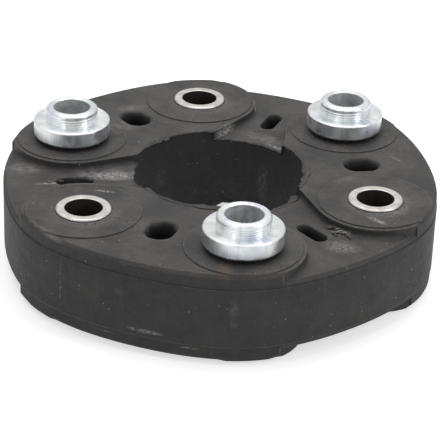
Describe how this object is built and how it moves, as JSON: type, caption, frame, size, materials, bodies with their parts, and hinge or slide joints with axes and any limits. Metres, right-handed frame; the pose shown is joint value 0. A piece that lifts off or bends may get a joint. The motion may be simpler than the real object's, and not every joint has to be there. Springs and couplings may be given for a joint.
{
  "type": "flex disc",
  "caption": "Cord-reinforced rubber flex disc that couples two shaft flanges through a circle of bolts, with stepped centring collars on every other bolt sleeve.",
  "frame": {"origin": "on the disc's axis, in the plane of the sleeves' lower ends, on which the disc lies", "axes": "+Z along the disc's axis towards the collars, +X at the bolt numbered 4; bolts 1 to 6 run clockwise from above, starting at -X"},
  "size_m": [0.1486, 0.1444, 0.0434],
  "materials": {
    "moulded_rubber": "compression-moulded, matte, lightly scuffed",
    "turned_steel": "turned ends, satin",
    "zinc_plated_steel": "turned and clear zinc plated, bright",
    "cord": "wound polyester cord dipped in rubber solution",
    "guide_steel": "blanked sheet, bonded all over"
  },
  "bodies": {
    "root": {"rubber_body": "moulded_rubber", "sleeve_1": "turned_steel", "sleeve_2": "turned_steel", "sleeve_3": "turned_steel", "sleeve_4": "turned_steel", "sleeve_5": "turned_steel", "sleeve_6": "turned_steel", "collar_1": "zinc_plated_steel", "collar_3": "zinc_plated_steel", "collar_5": "zinc_plated_steel", "coast_cord_pack_1": "cord", "coast_cord_pack_2": "cord", "coast_cord_pack_3": "cord", "upper_drive_cord_pack_1": "cord", "upper_drive_cord_pack_2": "cord", "upper_drive_cord_pack_3": "cord", "lower_drive_cord_pack_1": "cord", "lower_drive_cord_pack_2": "cord", "lower_drive_cord_pack_3": "cord", "upper_guide_disc_1": "guide_steel", "upper_guide_disc_2": "guide_steel", "upper_guide_disc_3": "guide_steel", "upper_guide_disc_4": "guide_steel", "upper_guide_disc_5": "guide_steel", "upper_guide_disc_6": "guide_steel", "lower_guide_disc_1": "guide_steel", "lower_guide_disc_2": "guide_steel", "lower_guide_disc_3": "guide_steel", "lower_guide_disc_4": "guide_steel", "lower_guide_disc_5": "guide_steel", "lower_guide_disc_6": "guide_steel"}
  },
  "joints": []
}
